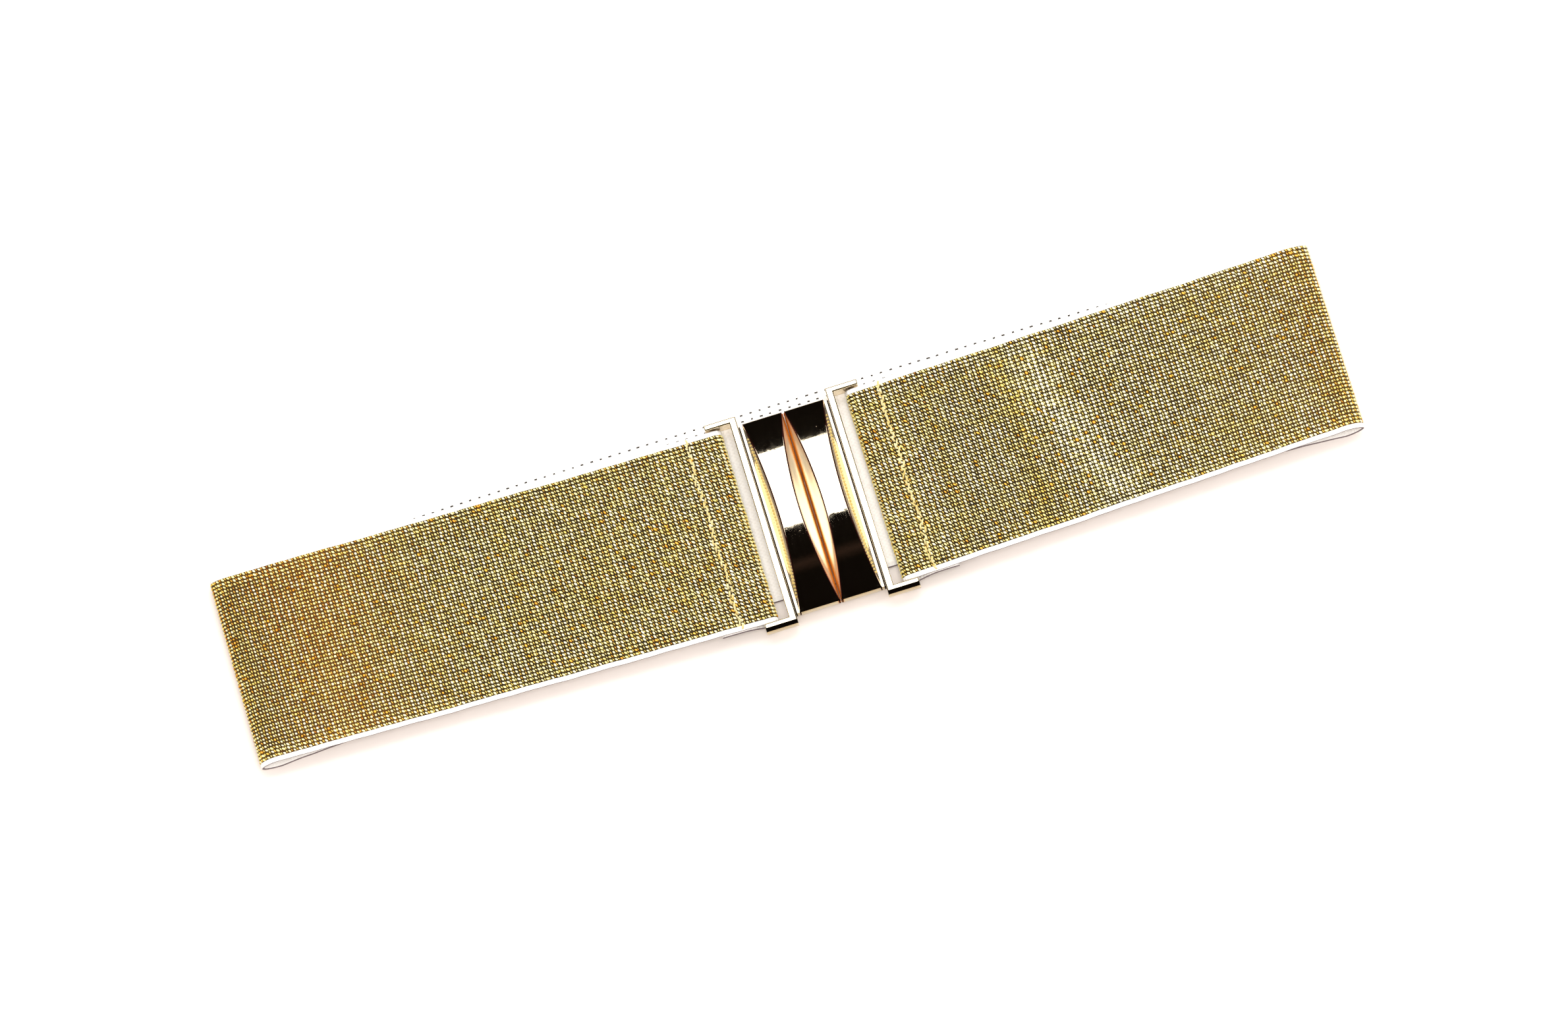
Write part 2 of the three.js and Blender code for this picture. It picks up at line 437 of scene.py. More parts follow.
# %% Node helpers
def set_inputs(made, **values):
    """Feeds a node's inputs by name, with _ for a space. Other names are its own settings."""
    for name, value in values.items():
        label = name.replace("_", " ")
        if label in made.inputs:
            feed(made.inputs[label], value)
        else:
            setattr(made, name, value)
    return made


def node(tree, kind, **values):
    return set_inputs(tree.nodes.new("ShaderNode" + kind), **values)


def object_place(tree):
    return Value(node(tree, "TexCoord").outputs["Object"])


def map_place(tree, name):
    return Value(node(tree, "UVMap", uv_map=name).outputs[0])


def split_xyz(place):
    return [Value(socket) for socket in node(place.tree, "SeparateXYZ", Vector=place).outputs]


def noise(place, scale, detail=2.0, roughness=0.5):
    made = node(place.tree, "TexNoise", Vector=place, Scale=scale, Detail=detail, Roughness=roughness)
    return Value(made.outputs[0])


def ramp(value, *stops):
    """A colour ramp; stops are (position, colour)."""
    made = node(value.tree, "ValToRGB", Fac=value)
    elements = made.color_ramp.elements
    while len(elements) < len(stops):
        elements.new(0.5)
    for element, (position, colour) in zip(elements, stops):
        element.position = position
        element.color = (*colour, 1)
    return Value(made.outputs["Color"])


def fading(value, full, none):
    """1 where a value is at or beyond full, and 0 where it is at or beyond none."""
    return ((none - value) * (1 / (none - full))).clamped()


def mixed(share, first, second):
    """A colour between two; share is how much of the second."""
    made = node(share.tree, "Mix", data_type="RGBA", Factor=share, A=first, B=second)
    return Value(made.outputs["Result"])


def bumped(height, strength, distance):
    """A normal that follows a height."""
    made = node(height.tree, "Bump", Strength=strength, Distance=distance, Height=height)
    return Value(made.outputs["Normal"])


# %% [markdown]
# ## Effects that several materials share
# Three node groups are built once, so a change in one reaches every material. One twists a thread
# into a cord, one lets a colour drift slowly over a surface, and one gives handled metal its
# hairlines and slight waviness. Each puts out only values, which the materials make use of.


# %% Group helpers
def new_group(name, inputs, outputs):
    """An empty group, its inputs as values by name, and the node that takes its results."""
    group = bpy.data.node_groups.new(name, "ShaderNodeTree")
    for label in inputs:
        kind = "NodeSocketVector" if label == "Place" else "NodeSocketFloat"
        group.interface.new_socket(name=label, in_out="INPUT", socket_type=kind)
    for label in outputs:
        group.interface.new_socket(name=label, in_out="OUTPUT", socket_type="NodeSocketFloat")
    given = group.nodes.new("NodeGroupInput")
    return group, {s.name: Value(s) for s in given.outputs}, group.nodes.new("NodeGroupOutput")


def use_group(tree, group, **values):
    """The results of a group, in its own order."""
    return [Value(s) for s in node(tree, "Group", node_tree=group, **values).outputs]


# %% Group: twisted thread
# Slanting ridges, as where the plies of a thread wind round each other
twist, given, result = new_group("twisted_thread", ["Place", "Plies", "Slant"], ["Height"])
along, across = split_xyz(given["Place"])[:2]
turns = (along + across * given["Slant"]) * given["Plies"]
set_inputs(result, Height=abs(math_node("SINE", turns * (2 * math.pi))))

# %% Group: slow colour drift
# A soft patchy value, as from uneven stretch, handling and dye
drift, given, result = new_group("colour_drift", ["Scale", "Contrast"], ["Value"])
patches = noise(object_place(drift), given["Scale"], 3.0, 0.6)
set_inputs(result, Value=((patches - 0.5) * given["Contrast"] + 0.5).clamped())

# %% Group: handled metal
# Fine hairlines in one direction, a low waviness from polishing, and a few pits
handled, given, result = new_group(
    "handled_metal", ["Hairline Scale", "Wave Scale", "Wave Share", "Pit Share"], ["Height", "Wear"]
)
place = object_place(handled)
drawn_along_y = Value(node(handled, "Mapping", Vector=place, Scale=(1.0, 0.06, 1.0)).outputs[0])
hairline = noise(drawn_along_y, given["Hairline Scale"], roughness=0.7)
waves = noise(place, given["Wave Scale"])
pits = Value(node(handled, "TexVoronoi", Vector=place, Scale=420.0).outputs["Distance"]) < 0.09
raised = waves * given["Wave Share"] + hairline * 0.05
set_inputs(result, Height=raised - pits * given["Pit Share"], Wear=hairline * waves)
print("node groups:", [g.name for g in bpy.data.node_groups])

# %% [markdown]
# ## Materials of the cloth
# The belt's gold side is a dark ground crossed by metallised yarn. The yarn shines like foil
# under varnish, and its colour changes from float to float, from pale straw to a few
# orange-brown ones. The top of each float is painted lighter, a painted highlight, and its flanks
# are painted a deeper tone, painted shade.
# A painted weave would look flat close up, so this is only one yarn, and the floats are modelled.


# %% Material maker
def new_material(name, **values):
    """A Principled material with plain values on the shader's own sockets."""
    material = bpy.data.materials.new(name)
    material.use_nodes = True
    shader = material.node_tree.nodes["Principled BSDF"]
    print("material:", name)
    return material, material.node_tree, set_inputs(shader, **values)


# %% Gold yarn
gold_yarn, tree, shader = new_material("gold_yarn", Metallic=0.2, IOR=1.5)
place = map_place(tree, "Thread")
tint = Value(node(tree, "Attribute", attribute_name="tint").outputs["Fac"])
drifting = use_group(tree, drift, Scale=28.0, Contrast=0.14)[0] - 0.5
from_middle = node(tree, "VectorMath", operation="DISTANCE")
feed(from_middle.inputs[0], place)
feed(from_middle.inputs[1], (0.5, 0.5, 0))
# Painted highlight: the middle of each float's top is painted lighter, and its flanks darker
painted_top_highlight = (0.34 - Value(from_middle.outputs["Value"])) * 0.75
yarn_colour = ramp(
    tint + drifting + painted_top_highlight,
    (0.0, (0.56, 0.18, 0.01)),
    (0.2, (0.95, 0.48, 0.05)),
    (0.42, (0.92, 0.70, 0.12)),
    (0.7, (1.0, 0.91, 0.40)),
    (1.0, (1.0, 0.97, 0.70)),
)
plies = use_group(tree, twist, Place=place, Plies=2.0, Slant=0.8)[0]
ridged = bumped(plies, 0.3, 0.06 * MM)
set_inputs(shader, Base_Color=yarn_colour, Roughness=plies * 0.12 + 0.26, Normal=ridged)

# %% [markdown]
# The ground shows only as dark gaps. Towards the two folds it is browner, most of all near the
# left one.

# %% Dark ground under the gold yarn
gold_ground, tree, shader = new_material("gold_ground", Metallic=0.3, Sheen_Weight=0.05)
place = map_place(tree, "Weave")
decimetres_along = split_xyz(place)[0]
mottling = noise(place, 140.0)
tone = mottling
for brown_s, reach, strength in ((fold_l - 22 * MM, 0.5, 0.45), (front_r, 0.625, 0.3)):
    near_fold = fading(abs(decimetres_along - brown_s * 10), 0, reach)
    tone = tone + near_fold * strength
ground_colour = ramp(
    tone, (0.3, (0.012, 0.007, 0.001)), (0.7, (0.060, 0.034, 0.004)), (1.0, (0.13, 0.05, 0.005))
)
rough_ground = bumped(mottling, 0.6, 0.1 * MM)
set_inputs(shader, Base_Color=ground_colour, Roughness=mottling + 0.15, Normal=rough_ground)

# %% [markdown]
# Selvedges and the inner side are white cotton with a fine rib. Near the far edge of the inner
# side, small dark yarn ends show through in rows. Along the near edge, below the white selvedge,
# a thin dark band is painted shade, where the rounded underside turns down from the light.
# Single cotton threads are too fine to be seen from here, so two crossed waves in a bump do.


# %% White cotton, and the painted shade along the near edge
def cotton(name, light, dark, rib, cross_rib=0.0, fleck_colour=None):
    """Woven cotton; the ribs are in radians to the millimetre along and across the strip."""
    material, tree, shader = new_material(name, Sheen_Weight=0.15, Sheen_Roughness=0.5)
    place = map_place(tree, "Weave")
    along, across = (decimetres * 100 for decimetres in split_xyz(place)[:2])
    wander = noise(place, 60.0)
    shaken = along + wander * 1.2
    rib_wave = math_node("SINE", shaken * rib)
    woven = rib_wave * math_node("SINE", across * cross_rib)
    colour = ramp(woven * 0.25 + wander, (0.25, dark), (0.6, light))
    if fleck_colour:
        # Distances in millimetres from fleck to fleck, from row to row, and from the near edge
        short = math_node("FRACT", shaken * (1 / 2.9)) < 0.27
        thin = abs(math_node("FRACT", across * (1 / 1.9)) - 0.5) < 0.13
        far_side = math_node("GREATER_THAN", across, 54.5)
        colour = mixed(short * thin * far_side, colour, (*fleck_colour, 1))
    ribbed = bumped(woven * 0.5 + rib_wave, 0.5, 0.12 * MM)
    set_inputs(shader, Base_Color=colour, Roughness=wander * 0.2 + 0.7, Normal=ribbed)
    return material


selvedge_cotton = cotton("selvedge_cotton", (0.93, 0.92, 0.90), (0.84, 0.82, 0.79), 6.5)
# Painted shade: a dark cotton for the underside of the near edge
painted_edge_shade = cotton("painted_edge_shade", (0.20, 0.16, 0.17), (0.12, 0.09, 0.10), 6.5)
inner_cotton = cotton(
    "inner_cotton", (0.97, 0.955, 0.93), (0.90, 0.875, 0.84), 3.93, 5.6, (0.04, 0.035, 0.03)
)

# %% [markdown]
# ## Ground cloth
# The strip itself is a thin closed band. Its section is a flat middle with a rounded, slightly
# thicker selvedge at each edge, and it is carried along the centre line. A plane with a solidify
# modifier would have square edges, so the section is drawn and swept in mesh code. The gold
# side lies a little low, so that the floats on it reach the cloth's real thickness.

# %% Ground cloth: its section
selvedge_width = 1.45 * MM
ground_rise = 0.26 * MM
half_thick = band_thickness / 2

edge_section = [  # from the edge inwards: distance, height on the gold side, height inside
    (0.00, 0.00, 0.00),
    (0.06, 0.22, -0.26),
    (0.25, 0.40, -0.44),
    (0.55, 0.50, -0.53),
    (0.95, 0.49, -0.57),
    (1.28, 0.42, -0.59),
    (1.45, 0.30, -0.60),
    (2.20, 0.26, -0.60),
]
outer = np.array(edge_section) * MM
middle_offsets = np.linspace(outer[-1, 0], band_width - outer[-1, 0], 19)[1:-1]
offsets = np.concatenate((outer[:, 0], middle_offsets, band_width - outer[::-1, 0]))
flat = np.ones(len(middle_offsets))
gold_heights = np.concatenate((outer[:, 1], ground_rise * flat, outer[::-1, 1]))
inner_heights = np.concatenate((outer[:, 2], -half_thick * flat, outer[::-1, 2]))

# One ring of the section: along the gold side, then back along the inner side
ring_offset = np.concatenate((offsets, offsets[-2:0:-1]))
ring_height = np.concatenate((gold_heights, inner_heights[-2:0:-1]))
ring_v = ring_offset / band_width - 0.5
print("section:", len(ring_v), "points round it")


# %% [markdown]
# The section is repeated at stations along the strip. They are close together in the folds and
# round the bars, where the strip bends, and further apart where it lies flat.


# %% Ground cloth: its points and faces
def stations_between(a, b, step):
    count = max(2, int(round((b - a) / step)))
    return np.linspace(a, b, count, endpoint=False)


# Step in mm in each part: hem, bar, front layer, fold, rear layer, and the same way back
part_steps = (1.4, 0.45, 1.25, 0.5, 1.6, 0.5, 1.25, 0.45, 1.4)
part_spans = zip(starts, [*starts[1:], strip_length], part_steps)
station_s = np.concatenate([stations_between(a, b, step * MM) for a, b, step in part_spans])
station_s = np.append(station_s, strip_length)
ring_size = len(ring_v)
cloth_points = strip_point(station_s[:, None], ring_v[None, :], ring_height[None, :]).reshape(-1, 3)
row = np.arange(len(station_s) - 1)[:, None] * ring_size
a = row + np.arange(ring_size)[None, :]
b = row + (np.arange(ring_size)[None, :] + 1) % ring_size
cloth_quads = np.stack((a, a + ring_size, b + ring_size, b), axis=-1).reshape(-1, 4)

# %% Ground cloth: the material of each face
# Round the section: gold ground 0, white selvedge 1, inner side 2, and 3, painted shade: a thin
# dark band along the near edge's underside, which shows as a fine line below the white one
ring_middle = (ring_offset + np.roll(ring_offset, -1)) / 2
from_edge = np.minimum(ring_middle, band_width - ring_middle)
on_gold_side = np.arange(ring_size) < len(offsets) - 1
ring_slot = np.where(from_edge < selvedge_width, 1, np.where(on_gold_side, 0, 2))
ring_slot[[0, -1, -2]] = 3
cloth_slots = np.tile(ring_slot, len(station_s) - 1)

cloth_mesh = bpy.data.meshes.new("ground_cloth")
cloth_mesh.from_pydata(cloth_points.tolist(), [], cloth_quads.tolist())
cloth_materials = (gold_ground, selvedge_cotton, inner_cotton, painted_edge_shade)
ground_cloth = new_piece("ground_cloth", cloth_mesh, *cloth_materials)
cloth_mesh.polygons.foreach_set("material_index", cloth_slots.astype(np.int32))
print("faces of each material:", np.bincount(cloth_slots))

# %% Close the two cut ends and store the weave's coordinates
edit(ground_cloth, "EDGE")
bpy.ops.mesh.select_non_manifold(extend=False)
bpy.ops.mesh.edge_face_add()
face_outwards(ground_cloth)

vertex_s = np.repeat(station_s, ring_size)
vertex_across = np.tile(ring_offset, len(station_s))
decimetres = np.stack((vertex_s, vertex_across), 1) * 10
store_map(ground_cloth.data, "Weave", decimetres)
part_of_belt(ground_cloth)
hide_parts("elastic_band")

# %% [markdown]
# ## Gold floats
# Close up, the gold side is a lattice of cells, 1.6 by 1.12 millimetres. In each cell one plump
# float of yarn stands up, and beside it a thin link slants across a dark hole. A bump can't throw
# the small shadows that show in the photograph. So both are modelled once, from a six-sided
# primitive that is drawn in at the top, and then copied to every cell.


# %% One float
def low_pillow(name, sides, top_share, dome):
    """A pillow with a few sides, one unit long, wide and high, with its foot at height 0."""
    deselect_all()
    bpy.ops.mesh.primitive_cylinder_add(vertices=sides, radius=0.5, depth=1, location=(0, 0, 0.5))
    piece = named(name)
    edit(piece, "FACE")
    pick(piece, "FACE", lambda middle, normal: normal.z > 0.9)
    bpy.ops.transform.resize(value=(top_share, top_share, 1))
    bpy.ops.transform.translate(value=(0, 0, -dome))
    if dome:
        bpy.ops.mesh.poke(offset=dome)
    deselect_all()
    mesh = piece.data
    points = np.array([v.co for v in mesh.vertices])
    faces = [list(p.vertices) for p in mesh.polygons]
    bpy.data.objects.remove(piece)
    return points, faces


plump_float = low_pillow("plump_float", 6, 0.72, 0.14)
thin_link = low_pillow("thin_link", 6, 0.5, 0.0)
plain_float = low_pillow("plain_float", 5, 0.6, 0.0)
print("float:", len(plump_float[0]), "points,", len(plump_float[1]), "faces")

# %% [markdown]
# The cells are spread by distance along the strip, so the columns stay straight across it. Each
# float gets its own small error in place, turn and size, and its own tint. The draws come from
# one seeded generator, so every run gives the same cloth.

# %% Cells of the weave
cell_along = 1.6 * MM
cell_across = 1.12 * MM
float_length = 1.12 * MM
float_width = 0.86 * MM
link_length = 1.10 * MM
link_width = 0.42 * MM
yarn_rise = 0.36 * MM
yarn_base = ground_rise - 0.02 * MM
gold_width = band_width - 2 * selvedge_width
rows = int(gold_width / cell_across)
row_v = (np.arange(rows) - (rows - 1) / 2) * (gold_width - 1.0 * MM) / (rows - 1) / band_width
rim_rows = 3
brown_share = 0.03
# The painted highlight band and the painted shade after it start this far along the right layer
painted_highlight_band_start = 77 * MM
painted_shade_band_start = 88 * MM
painted_band_slant = 21 * MM
painted_highlight_band_reach = 7.5 * MM
painted_shade_band_fade = 8 * MM
# The browner end starts this far before the left fold, and grows over the second length
brown_end_start = 60 * MM
brown_end_growth = 50 * MM
painted_fold_shade_reach = 6 * MM
draw = np.random.default_rng(17)

# Tone of the yarn, and how far it is drawn out, at places along the strip
tone_places = [front_l, 0.45 * front_l + 0.55 * fold_l, fold_l - 22 * MM, rear_s]
tone_places += [fold_r, front_r, front_r + 7 * MM, 0.45 * front_r + 0.55 * wrap_r, wrap_r]
tone_values = [-0.06, -0.01, -0.12, -0.20, -0.10, -0.05, 0.03, 0.0, -0.05]
drawn_values = [1.0, 0.4, 0.0, 0.0, 0.0, 0.0, 0.1, 0.4, 1.0]
print("rows of cells across the strip:", rows)


def smooth_noise(count, reach):
    """A seeded random line that changes slowly, from about -1 to 1."""
    raw = draw.normal(size=count + 8 * reach)
    kernel = np.hanning(2 * reach + 1)
    soft = np.convolve(raw, kernel / np.sqrt((kernel**2).sum()), mode="same")
    return soft[4 * reach : 4 * reach + count]


# %% [markdown]
# One piece is many copies of a shape, one to a cell. Each copy is scaled and turned flat, and
# then laid on the strip point by point, so it bends with the fold. Its own square map says where
# on the thread a point is, and a second map, laid out flat along the strip, is there for baking.


# %% A piece from many copies of one shape
def float_piece(name, shape, cells):
    points, faces = shape
    x, y, z = points.T
    keys = ("s", "v", "length", "width", "height", "turn")
    s, v, length, width, height, turn = (cells[key][:, None] for key in keys)
    copy_s = s + x * length * np.cos(turn) - y * width * np.sin(turn)
    copy_v = v + (x * length * np.sin(turn) + y * width * np.cos(turn)) / band_width
    placed = strip_point(copy_s, copy_v, yarn_base + z * height)

    first_point = np.arange(len(s))[:, None] * len(points)
    corners = np.concatenate([(first_point + np.array(face)).ravel() for face in faces])
    face_sizes = np.concatenate([np.full(len(s), len(face)) for face in faces])
    first_corner = np.concatenate(([0], np.cumsum(face_sizes)[:-1]))
    mesh = bpy.data.meshes.new(name)
    mesh.vertices.add(placed.size // 3)
    mesh.loops.add(len(corners))
    mesh.polygons.add(len(face_sizes))
    mesh.vertices.foreach_set("co", placed.astype(np.float32).ravel())
    mesh.loops.foreach_set("vertex_index", corners.astype(np.int32))
    mesh.polygons.foreach_set("loop_start", first_corner.astype(np.int32))
    mesh.update(calc_edges=True)
    mesh.validate()
    piece = new_piece(name, mesh, gold_yarn)

    # A copy's top is smooth in itself, but sharp against its sides
    on_ring = np.tile((z > 0.5) & (np.hypot(x, y) > 0.1), len(s))
    edge_ends = np.zeros(2 * len(mesh.edges), np.int32)
    mesh.edges.foreach_get("vertices", edge_ends)
    mesh.edges.foreach_set("use_edge_sharp", on_ring[edge_ends.reshape(-1, 2)].all(1))
    tint = mesh.attributes.new("tint", "FLOAT", "POINT")
    tint.data.foreach_set("value", np.repeat(cells["tint"], len(points)).astype(np.float32))
    store_map(mesh, "Thread", np.tile(points[:, :2] + 0.5, (len(s), 1)))
    flat_place = np.stack((copy_s.ravel() / strip_length, copy_v.ravel() + 0.5), 1)
    store_map(mesh, "OFBake", flat_place)
    return part_of_belt(piece)


# %% Fill a stretch of the strip with floats
def cells_between(start, end):
    """Arrays for the plump floats and the links between two distances along the strip."""
    columns = int(round((end - start) / cell_along))
    column_s = start + (np.arange(columns) + 0.5) * (end - start) / columns
    tone = 0.05 * smooth_noise(columns, 3) + 0.05 * draw.normal(size=columns)
    row_tone = 0.05 * smooth_noise(rows, 2)
    s = np.repeat(column_s, rows)
    v = np.tile(row_v, columns)
    count = len(s)
    row = np.tile(np.arange(rows), columns)
    rim = np.minimum(row, rows - 1 - row) < rim_rows
    # The weft leans slightly, and single floats sit askew
    s = s + 0.06 * MM * draw.normal(size=count) + 0.0125 * band_width * v
    v_place = v + 0.04 * MM * draw.normal(size=count) / band_width
    # The left end is browner. Near the clasp the cloth is stretched, which draws the floats out
    by_place = np.interp(s, tone_places, tone_values)
    near_left_end = np.clip((s - fold_l + brown_end_start) / brown_end_growth, 0, 1)
    near_left_end = near_left_end * (s < rear_s)
    by_place -= 0.14 * np.clip(v, -0.3, 0.5) * near_left_end
    # A band slanting across the right layer is a painted highlight, by a lighter tint and larger
    # floats. Painted shade follows it, where narrower floats show more of the dark ground
    from_painted_highlight_band = s - (front_r + painted_highlight_band_start + painted_band_slant * v)
    painted_band_highlight = np.exp(-((from_painted_highlight_band / painted_highlight_band_reach) ** 2))
    painted_band_shade = fade(s, front_r + painted_shade_band_start + painted_band_slant * v, wrap_r - painted_shade_band_fade, painted_shade_band_fade)
    # The last columns before the left fold are painted shade: narrower floats show more dark ground,
    # and their tint turns greener
    painted_fold_shade = np.exp(-(((s - fold_l) / painted_fold_shade_reach) ** 2))
    by_place += 0.10 * painted_band_highlight + 0.02 * painted_band_shade + 0.12 * painted_fold_shade
    drawn_out = np.interp(s, tone_places, drawn_values)
    tint = 0.80 + 0.5 * by_place + np.repeat(tone, rows) + np.tile(row_tone, columns)
    tint += 0.11 * draw.normal(size=count)
    brown = draw.random(count) < brown_share
    tint = np.where(brown, 0.05 + 0.18 * draw.random(count), tint)
    size = 1 + 0.07 * draw.normal(size=count)
    slant = np.radians(np.where(rim, 40, 58 - 10 * drawn_out))
    long = float_length * (0.83 + 0.55 * drawn_out + 0.10 * painted_band_highlight)
    wide = float_width * (0.99 - 0.20 * drawn_out + 0.24 * painted_band_highlight - 0.10 * painted_band_shade - 0.26 * painted_fold_shade)
    plump = {
        "s": s - 0.25 * cell_along,
        "v": v_place,
        "length": size * np.where(rim, 1.15 * float_length, long),
        "width": size * np.where(rim, 0.88 * float_width, wide),
        "height": yarn_rise * np.minimum(0.94 + 0.08 * draw.normal(size=count), 1.03),
        "turn": slant + np.radians(7) * draw.normal(size=count),
        "tint": tint,
    }
    link = {
        "s": s + 0.30 * cell_along,
        "v": v_place + 0.12 * cell_across / band_width,
        "length": link_length * size,
        "width": link_width * size * (1.18 - 0.22 * drawn_out),
        "height": 0.72 * yarn_rise * (1 + 0.12 * draw.normal(size=count)),
        "turn": np.radians(64 + 8 * draw.normal(size=count)),
        "tint": 0.42 + 1.6 * by_place + 0.12 * draw.normal(size=count),
    }
    return plump, link


left_turn = wrap_l + 0.3 * (front_l - wrap_l)
right_turn = wrap_r + 0.7 * (hem_r - wrap_r)
left_floats, left_links = cells_between(left_turn, rear_s)
right_floats, right_links = cells_between(fold_r, right_turn)
floats_left = float_piece("gold_floats_left", plump_float, left_floats)
links_left = float_piece("gold_links_left", thin_link, left_links)
floats_right = float_piece("gold_floats_right", plump_float, right_floats)
links_right = float_piece("gold_links_right", thin_link, right_links)

# %% [markdown]
# Underneath, the rear layer's gold side lies on the table, and the two hems face it. The same
# lattice goes there with a plainer float, because these sides are seldom seen.

# %% Floats of the rear layer and the hems
rear_cells = cells_between(rear_s, fold_r)[0]
rear_cells["length"] = rear_cells["length"] * 1.3
rear_cells["height"] = np.minimum(rear_cells["height"], half_thick - ground_rise + 0.02 * MM)
left_hem = cells_between(hem_l + 0.5 * MM, left_turn)[0]
right_hem = cells_between(right_turn, strip_length - 0.5 * MM)[0]
hem_cells = {key: np.concatenate((left_hem[key], right_hem[key])) for key in left_hem}
floats_rear = float_piece("gold_floats_rear", plain_float, rear_cells)
floats_hems = float_piece("gold_floats_hems", plain_float, hem_cells)

# %% [markdown]
# ## Metals
# The clasp is plated metal with a mirror finish. Its colour is all reflection, so the material
# is metallic, with a low roughness that hairlines raise here and there. Its painted marks, a
# painted reflection in the valley, painted shade in a groove and a painted dark line on the rims,
# all depend on the distance from the seam and the height, so those are taken first and the
# marks are placed with them.

# %% Polished gold: plating, painted reflection in the valley and painted shade in the groove
polished_gold, tree, shader = new_material("polished_gold")
marks, wear = use_group(
    tree, handled, Hairline_Scale=1500.0, Wave_Scale=900.0, Wave_Share=0.9, Pit_Share=1.0
)
plating = use_group(tree, drift, Scale=55.0, Contrast=0.8)[0]
gold_colour = ramp(plating, (0.2, (0.92, 0.78, 0.55)), (0.8, (0.97, 0.86, 0.66)))
place_x, place_y, place_z = split_xyz(object_place(tree))
off_seam = abs(place_x - clasp_offset)
# The bottom of the narrow valley is painted orange-brown, a painted reflection of its gold walls, and
# is rougher there
painted_valley_reflection = fading(off_seam, 0.53 * MM, 1.118 * MM) * fading(place_z, 6.25 * MM, 6.75 * MM)
gold_colour = mixed(painted_valley_reflection, gold_colour, (0.85, 0.36, 0.05, 1))
# The corner between the groove and the frame bar is painted near black, painted shade, and is rougher
# there
in_corner = abs(off_seam - (frame_inner - 0.24 * MM)) < 0.235 * MM
below_bar = place_z < underside + web_thickness + 0.8 * MM
painted_groove_shade = in_corner * below_bar
gold_colour = mixed(painted_groove_shade, gold_colour, (0.06, 0.045, 0.04, 1))

# %% [markdown]
# A thin dark red line is painted along the plate's curved rims, a painted reflection of the dark
# room in the rounded rims. A strip of its own could be modelled, but a line this thin only needs
# the rim's own curve: a parabola, most drawn in at the middle of the plate's length.

# %% Polished gold: the painted dark line on the rims
along_plate = (place_y - (belt_shift - front_bow)) * (2 / plate_height)
rim_curve = 1.0 - along_plate * along_plate
off_inner_rim = abs(off_seam - (rim_curve * inner_scoop + (plate_inner + face_inset)))
off_outer_rim = abs(off_seam - (rim_curve * -outer_scoop + (plate_outer - face_inset)))
# Painted reflection: a thin dark red line along both rims
painted_rim_reflection = math_node("MINIMUM", off_inner_rim, off_outer_rim) < 0.21 * MM
gold_colour = mixed(painted_rim_reflection, gold_colour, (0.07, 0.014, 0.012, 1))

# %% [markdown]
# The scooped sides are hard to reach with the polishing wheel, so they are duller than the
# face, and the foot of the casting is left satin and pale.

# %% Polished gold: how dull each part is
facing_x = abs(split_xyz(Value(node(tree, "NewGeometry").outputs["Normal"]))[0])
plate_side = fading(facing_x, 0.5, 0.25) * (off_seam < plate_outer)
foot = place_z < underside + 0.82 * MM
dullness = wear * 0.05 + painted_valley_reflection * 0.25 + plate_side * 0.07 + foot * 0.42 + painted_groove_shade * 0.4
set_inputs(
    shader,
    Base_Color=gold_colour,
    Roughness=dullness + 0.015,
    Metallic=1.0 - math_node("MAXIMUM", foot * 0.8, plate_side * 0.3),
    Normal=bumped(marks, 0.02, 0.1 * MM),
)

# %% [markdown]
# The rope line in the plates' outer hollows is satin gold, and the hidden hook is brushed
# steel. Both are one recipe: the wear sets colour and roughness, and the marks the relief.


# %% Satin gold and brushed steel
def brushed(name, metallic, group_values, dark, light, rough, relief):
    """A metal whose wear lightens it; rough is (share of the wear, least roughness)."""
    material, tree, shader = new_material(name, Metallic=metallic)
    marks, wear = use_group(tree, handled, Pit_Share=0.1, **group_values)
    colour = ramp(wear, (0.1, dark), (0.5, light))
    roughness = wear * rough[0] + rough[1]
    set_inputs(shader, Base_Color=colour, Roughness=roughness, Normal=bumped(marks, *relief))
    return material


satin_gold = brushed(
    "satin_gold",
    0.4,
    {"Hairline_Scale": 2200.0, "Wave_Scale": 700.0, "Wave_Share": 0.5},
    (0.86, 0.60, 0.14),
    (1.0, 0.86, 0.36),
    (0.3, 0.3),
    (0.2, 0.1 * MM),
)
brushed_steel = brushed(
    "brushed_steel",
    1.0,
    {"Hairline_Scale": 2600.0, "Wave_Scale": 200.0, "Wave_Share": 0.3},
    (0.50, 0.48, 0.45),
    (0.66, 0.64, 0.60),
    (0.4, 0.22),
    (0.25, 0.2 * MM),
)

# %% [markdown]
# ## Clasp
# Each half is one casting: an hourglass plate whose long sides are scooped out, a thin web, and
# a frame that holds the cloth. The plate starts as a block. Its long edges are cut into many
# stations and its sides into rows, and the rows are then drawn into the scoop's curve. Cutting
# the scoop with a round tool would leave no straight foot. The foot's ends have a thin lip.

# %% Sides of the plate
plate_cuts = 59
side_rows = 11
base_lip = 0.32 * MM
lip_height = 0.8 * MM
seam_half = 0.08 * MM
foot_notch = 0.42 * MM
notch_rise = 0.2 * MM
notch_drop = 1.1 * MM
outer_hollow = 0.12
inner_hollow = 0.10


